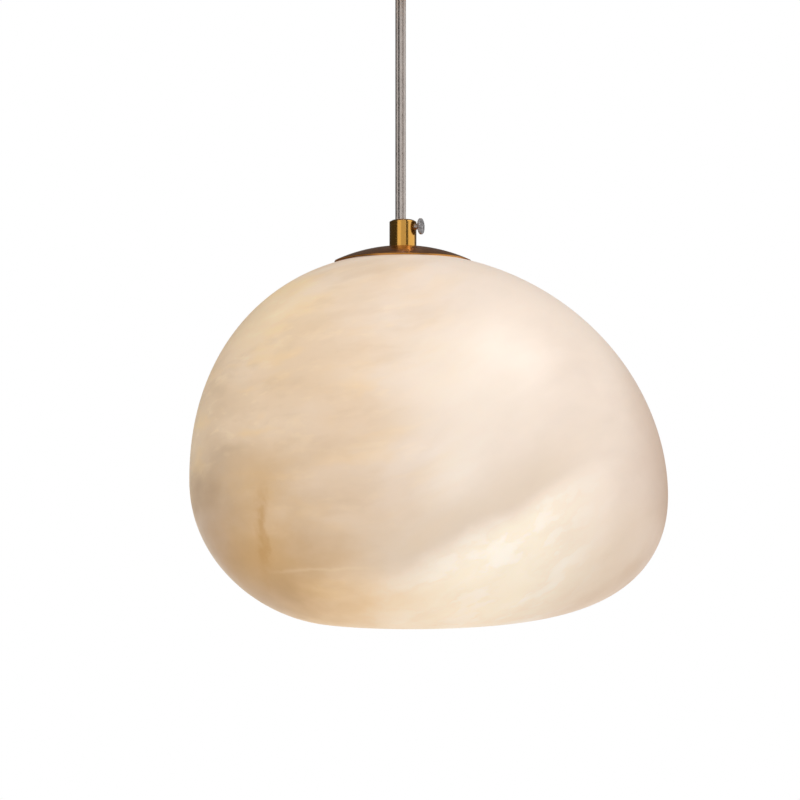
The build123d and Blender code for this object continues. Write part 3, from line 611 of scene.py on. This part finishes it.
# Wisps shade the colour and the satin together.
wisps = add(tree, "TexNoise", {"Vector": cloud_bed, "Scale": 1000 / 26, "Detail": 6.0, "Roughness": 0.55})
shade = add(tree, "MapRange", {"Value": wisps, "From Min": 0.3, "From Max": 0.7,
                               "To Min": 0.975, "To Max": 1.02})
tint = add(tree, "VectorMath", {0: tint, 1: shade}, operation="MULTIPLY")
satin = add(tree, "MapRange", {"Value": wisps, "From Min": 0.3, "From Max": 0.7,
                               "To Min": 0.46, "To Max": 0.36})
# The emission is that painted glow, standing in for the bulb's light through the stone.
feed(tree, shader, {"Base Color": tint, "Emission Color": tint, "Emission Strength": PAINTED_STONE_GLOW,
                    "Roughness": satin, "IOR": 1.53, "Subsurface Weight": 0.2,
                    "Subsurface Radius": (1.0, 0.7, 0.45), "Subsurface Scale": 0.006})
skin("alabaster_shade", stone, alabaster, "shade",
     ["shade_crown", "shade_belt", "shade_heel", "shade_floor"], crease=60.0)

# Gaskets between metal and stone: rings of soft silicone, moulded and matt. The cap lies on one, and the
# clamp plate presses the other up against the stone from inside.
silicone, tree, shader, own = new_finish("matt_silicone")
cloud = add(tree, "TexNoise", {"Vector": own, "Scale": 1000 / 4, "Detail": 3.0})
tint = add(tree, "Mix", {0: cloud, 6: linear("#b9b6ae"), 7: linear("#d0cdc5")}, data_type="RGBA")
feed(tree, shader, {"Base Color": tint, "Roughness": 0.7})
dress(silicone, "cap_gasket", "clamp_gasket")

# Lampholder: a drawn steel cup on the threaded tube, nickel plated, round an insert of pressed steatite with
# brass contacts, held by a ring. The steatite is unglazed and dry, with its grit drawn coarser than it is.
dress(nickel_plate, "lampholder_cup")
dress(zinc_plate, "retaining_ring", "cup_earth_screw")
dress(polished_brass, "lamp_contacts")
steatite, tree, shader, own = new_finish("unglazed_steatite")
grit = add(tree, "TexNoise", {"Vector": own, "Scale": 1000 / 0.8, "Detail": 3.0})
tint = add(tree, "Mix", {0: grit, 6: linear("#d8d0c0"), 7: linear("#efe9dc")}, data_type="RGBA")
feed(tree, shader, {"Base Color": tint, "Roughness": 0.75})
dress(steatite, "lampholder_insert")

# Bulb: a push-in LED lamp, held in the lampholder by its two pins. Its base is moulded in white PBT with a
# soft gloss, and its cover is frosted opal glass that glows warm, with the frost drawn coarser than it is.
moulded_pbt, tree, shader, own = new_finish("moulded_white_pbt")
cloud = add(tree, "TexNoise", {"Vector": own, "Scale": 1000 / 5, "Detail": 3.0})
tint = add(tree, "Mix", {0: cloud, 6: linear("#e6e3db"), 7: linear("#f3f1eb")}, data_type="RGBA")
feed(tree, shader, {"Base Color": tint, "Roughness": 0.35})
dress(moulded_pbt, "bulb_base")
dress(nickel_plate, "bulb_pins")
dress(steatite, "led_board")

opal, tree, shader, own = new_finish("frosted_opal_glass")
frost = add(tree, "TexNoise", {"Vector": own, "Scale": 1000 / 1.5, "Detail": 3.0})
glow = add(tree, "Mix", {0: frost, 6: linear("#ffe3b4"), 7: linear("#fff0d2")}, data_type="RGBA")
feed(tree, shader, {"Base Color": glow, "Emission Color": glow, "Emission Strength": 1.0, "Roughness": 0.5})
dress(opal, "bulb_capsule")
